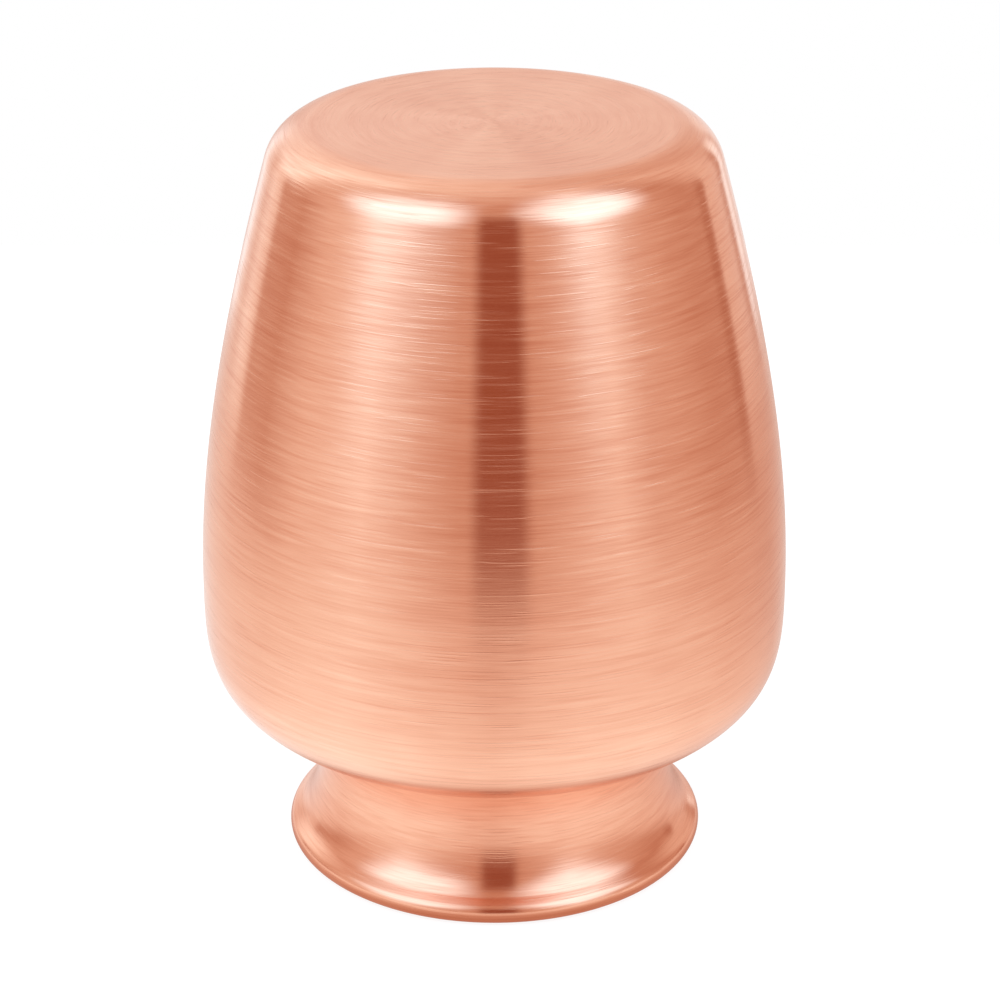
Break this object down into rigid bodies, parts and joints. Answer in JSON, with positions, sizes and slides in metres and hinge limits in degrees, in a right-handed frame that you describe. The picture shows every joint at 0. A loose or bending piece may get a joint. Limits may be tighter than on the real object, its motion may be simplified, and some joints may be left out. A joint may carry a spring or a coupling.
{
  "type": "water vessel",
  "caption": "Copper lota: tapered round water vessel with a flat base, a narrow neck and a flared mouth with a rolled lip, modelled mouth down.",
  "frame": {"origin": "centre of the circle on which the rolled lip rests, with the vessel standing mouth down", "axes": "+Z along the vessel's axis, from the mouth up to the flat base; the vessel is round, so +X and +Y are alike"},
  "size_m": [0.094, 0.094, 0.1222],
  "materials": {
    "body_copper": "spun copper sheet with a fine brushed grain round the axis",
    "collar_copper": "spun copper sheet, brushed, with a smoother flare and lip",
    "braze_filler": "dull copper brazing filler",
    "wire_copper": "drawn copper wire"
  },
  "bodies": {
    "root": {"body_shell": "body_copper", "neck_collar": "collar_copper", "braze_ring": "braze_filler", "rim_wire": "wire_copper"}
  },
  "joints": []
}
